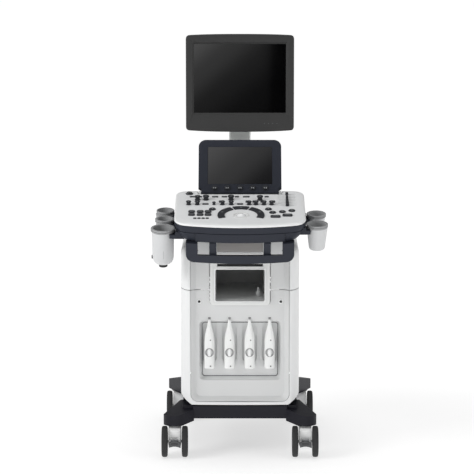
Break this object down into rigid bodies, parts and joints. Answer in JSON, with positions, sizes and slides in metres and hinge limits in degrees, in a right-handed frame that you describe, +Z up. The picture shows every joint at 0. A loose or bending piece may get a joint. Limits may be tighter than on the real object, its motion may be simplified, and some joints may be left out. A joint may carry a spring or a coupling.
{
  "type": "ultrasound machine",
  "caption": "Trolley ultrasound machine: castered base, covered body with probe ports, swivelling console with touch panel, trackball, cup holders and monitor.",
  "frame": {"origin": "on the floor, under the middle of the machine's bounding box", "axes": "+Z up, -Y towards the user, X across"},
  "size_m": [0.5598, 0.727, 1.338],
  "materials": {
    "navy_paint": "powder coat, satin",
    "white_cover": "fine moulded texture",
    "grey_cover": "fine moulded texture",
    "navy_cover": "satin",
    "charcoal_cover": "satin",
    "key": "soft matte",
    "rubber": "matte",
    "tread": "matte",
    "screen_glass": "gloss black",
    "steel": "plated",
    "module": "block that stands in for the card cage",
    "ball": "polished"
  },
  "bodies": {
    "trolley": {"base_frame": "navy_paint", "lower_housing": "white_cover", "lower_front_panel": "white_cover", "upper_shell": "white_cover", "upper_front_panel": "grey_cover", "rear_cover": "white_cover", "chassis_frame": "steel", "electronics_module": "module", "printer_bay": "grey_cover", "port_panel": "grey_cover", "probe_plug_1": "white_cover", "probe_plug_2": "white_cover", "probe_plug_3": "white_cover", "probe_plug_4": "white_cover"},
    "caster_front_left": {"yoke_front_left": "white_cover"},
    "wheel_front_left_left": {"wheel_front_left_left": "tread"},
    "wheel_front_left_right": {"wheel_front_left_right": "tread"},
    "brake_pedal_front_left": {"brake_pedal_front_left": "rubber"},
    "caster_front_right": {"yoke_front_right": "white_cover"},
    "wheel_front_right_left": {"wheel_front_right_left": "tread"},
    "wheel_front_right_right": {"wheel_front_right_right": "tread"},
    "brake_pedal_front_right": {"brake_pedal_front_right": "rubber"},
    "caster_rear_left": {"yoke_rear_left": "white_cover"},
    "wheel_rear_left_left": {"wheel_rear_left_left": "tread"},
    "wheel_rear_left_right": {"wheel_rear_left_right": "tread"},
    "caster_rear_right": {"yoke_rear_right": "white_cover"},
    "wheel_rear_right_left": {"wheel_rear_right_left": "tread"},
    "wheel_rear_right_right": {"wheel_rear_right_right": "tread"},
    "plug_latch_1": {"plug_latch_1": "grey_cover"},
    "plug_latch_2": {"plug_latch_2": "grey_cover"},
    "plug_latch_3": {"plug_latch_3": "grey_cover"},
    "plug_latch_4": {"plug_latch_4": "grey_cover"},
    "console": {"console_shell": "navy_cover", "console_deck": "white_cover", "key_mat": "key", "front_handle": "navy_cover", "cup_left_front": "white_cover", "cup_left_middle": "white_cover", "cup_left_rear": "white_cover", "cup_right_front": "white_cover", "cup_right_rear": "white_cover"},
    "trackball": {"trackball": "ball"},
    "gain_knob": {"gain_knob": "key"},
    "depth_knob": {"depth_knob": "key"},
    "power_button": {"power_button": "key"},
    "gain_sliders": {"gain_sliders": "key"},
    "drawer": {"keyboard_drawer": "navy_cover", "keyboard": "key"},
    "touch_panel": {"touch_housing": "navy_cover", "touch_glass": "screen_glass"},
    "touch_knob_1": {"touch_knob_1": "key"},
    "touch_knob_2": {"touch_knob_2": "key"},
    "touch_knob_3": {"touch_knob_3": "key"},
    "touch_knob_4": {"touch_knob_4": "key"},
    "touch_knob_5": {"touch_knob_5": "key"},
    "monitor_neck": {"monitor_neck": "grey_cover"},
    "monitor": {"monitor_tilt_yoke": "steel", "monitor_housing": "charcoal_cover", "monitor_bezel": "charcoal_cover", "monitor_glass": "screen_glass"}
  },
  "joints": [
    {"name": "caster_swivel_front_left", "type": "hinge", "parent": "trolley", "child": "caster_front_left", "pos_m": [-0.209, -0.222, 0.1], "axis": [0, 0, 1], "continuous": true},
    {"name": "wheel_spin_front_left_left", "type": "hinge", "parent": "caster_front_left", "child": "wheel_front_left_left", "pos_m": [-0.2412, -0.25, 0.05], "axis": [1, 0, 0], "continuous": true},
    {"name": "wheel_spin_front_left_right", "type": "hinge", "parent": "caster_front_left", "child": "wheel_front_left_right", "pos_m": [-0.1768, -0.25, 0.05], "axis": [1, 0, 0], "continuous": true},
    {"name": "brake_press_front_left", "type": "hinge", "parent": "caster_front_left", "child": "brake_pedal_front_left", "pos_m": [-0.209, -0.272, 0.057], "axis": [1, 0, 0], "range_deg": [0, 15]},
    {"name": "caster_swivel_front_right", "type": "hinge", "parent": "trolley", "child": "caster_front_right", "pos_m": [0.209, -0.222, 0.1], "axis": [0, 0, 1], "continuous": true},
    {"name": "wheel_spin_front_right_left", "type": "hinge", "parent": "caster_front_right", "child": "wheel_front_right_left", "pos_m": [0.1768, -0.25, 0.05], "axis": [1, 0, 0], "continuous": true},
    {"name": "wheel_spin_front_right_right", "type": "hinge", "parent": "caster_front_right", "child": "wheel_front_right_right", "pos_m": [0.2412, -0.25, 0.05], "axis": [1, 0, 0], "continuous": true},
    {"name": "brake_press_front_right", "type": "hinge", "parent": "caster_front_right", "child": "brake_pedal_front_right", "pos_m": [0.209, -0.272, 0.057], "axis": [1, 0, 0], "range_deg": [0, 15]},
    {"name": "caster_swivel_rear_left", "type": "hinge", "parent": "trolley", "child": "caster_rear_left", "pos_m": [-0.209, 0.328, 0.1], "axis": [0, 0, 1], "continuous": true},
    {"name": "wheel_spin_rear_left_left", "type": "hinge", "parent": "caster_rear_left", "child": "wheel_rear_left_left", "pos_m": [-0.2412, 0.3, 0.05], "axis": [1, 0, 0], "continuous": true},
    {"name": "wheel_spin_rear_left_right", "type": "hinge", "parent": "caster_rear_left", "child": "wheel_rear_left_right", "pos_m": [-0.1768, 0.3, 0.05], "axis": [1, 0, 0], "continuous": true},
    {"name": "caster_swivel_rear_right", "type": "hinge", "parent": "trolley", "child": "caster_rear_right", "pos_m": [0.209, 0.328, 0.1], "axis": [0, 0, 1], "continuous": true},
    {"name": "wheel_spin_rear_right_left", "type": "hinge", "parent": "caster_rear_right", "child": "wheel_rear_right_left", "pos_m": [0.1768, 0.3, 0.05], "axis": [1, 0, 0], "continuous": true},
    {"name": "wheel_spin_rear_right_right", "type": "hinge", "parent": "caster_rear_right", "child": "wheel_rear_right_right", "pos_m": [0.2412, 0.3, 0.05], "axis": [1, 0, 0], "continuous": true},
    {"name": "latch_turn_1", "type": "hinge", "parent": "trolley", "child": "plug_latch_1", "pos_m": [-0.0981, -0.212, 0.3325], "axis": [0, -1, 0], "range_deg": [0, 90]},
    {"name": "latch_turn_2", "type": "hinge", "parent": "trolley", "child": "plug_latch_2", "pos_m": [-0.0337, -0.212, 0.3325], "axis": [0, -1, 0], "range_deg": [0, 90]},
    {"name": "latch_turn_3", "type": "hinge", "parent": "trolley", "child": "plug_latch_3", "pos_m": [0.0307, -0.212, 0.3325], "axis": [0, -1, 0], "range_deg": [0, 90]},
    {"name": "latch_turn_4", "type": "hinge", "parent": "trolley", "child": "plug_latch_4", "pos_m": [0.0951, -0.212, 0.3325], "axis": [0, -1, 0], "range_deg": [0, 90]},
    {"name": "console_swivel", "type": "hinge", "parent": "trolley", "child": "console", "pos_m": [0, -0.09, 0.709], "axis": [0, 0, 1], "range_deg": [-30, 30]},
    {"name": "trackball_roll", "type": "hinge", "parent": "console", "child": "trackball", "pos_m": [0.003, -0.27268, 0.77215], "axis": [1, 0, 0], "continuous": true},
    {"name": "gain_turn", "type": "hinge", "parent": "console", "child": "gain_knob", "pos_m": [-0.109, -0.1408, 0.81781], "axis": [0, -0.2419, 0.9703], "continuous": true},
    {"name": "depth_turn", "type": "hinge", "parent": "console", "child": "depth_knob", "pos_m": [-0.0288, -0.1408, 0.81781], "axis": [0, -0.2419, 0.9703], "continuous": true},
    {"name": "power_press", "type": "slide", "parent": "console", "child": "power_button", "axis": [0, 0.2419, -0.9703], "range_m": [0, 0.0018], "stiffness_N_per_m": 400, "springref_m": -0.001},
    {"name": "sliders_move", "type": "slide", "parent": "console", "child": "gain_sliders", "axis": [1, 0, 0], "range_m": [-0.02, 0.02]},
    {"name": "drawer_slide", "type": "slide", "parent": "console", "child": "drawer", "axis": [0, -0.9703, -0.2419], "range_m": [0, 0.15]},
    {"name": "touch_tilt", "type": "hinge", "parent": "console", "child": "touch_panel", "pos_m": [0, -0.0787, 0.8324], "axis": [1, 0, 0], "range_deg": [-10, 8]},
    {"name": "touch_knob_turn_1", "type": "hinge", "parent": "touch_panel", "child": "touch_knob_1", "pos_m": [-0.082, -0.08275, 0.84838], "axis": [0, -0.8434, 0.5373], "continuous": true},
    {"name": "touch_knob_turn_2", "type": "hinge", "parent": "touch_panel", "child": "touch_knob_2", "pos_m": [-0.041, -0.08275, 0.84838], "axis": [0, -0.8434, 0.5373], "continuous": true},
    {"name": "touch_knob_turn_3", "type": "hinge", "parent": "touch_panel", "child": "touch_knob_3", "pos_m": [0, -0.08275, 0.84838], "axis": [0, -0.8434, 0.5373], "continuous": true},
    {"name": "touch_knob_turn_4", "type": "hinge", "parent": "touch_panel", "child": "touch_knob_4", "pos_m": [0.041, -0.08275, 0.84838], "axis": [0, -0.8434, 0.5373], "continuous": true},
    {"name": "touch_knob_turn_5", "type": "hinge", "parent": "touch_panel", "child": "touch_knob_5", "pos_m": [0.082, -0.08275, 0.84838], "axis": [0, -0.8434, 0.5373], "continuous": true},
    {"name": "monitor_swivel", "type": "hinge", "parent": "console", "child": "monitor_neck", "pos_m": [0, 0.141, 0.83], "axis": [0, 0, 1], "range_deg": [-90, 90]},
    {"name": "monitor_tilt", "type": "hinge", "parent": "monitor_neck", "child": "monitor", "pos_m": [0, 0.128, 1.16], "axis": [1, 0, 0], "range_deg": [-15, 5]}
  ]
}
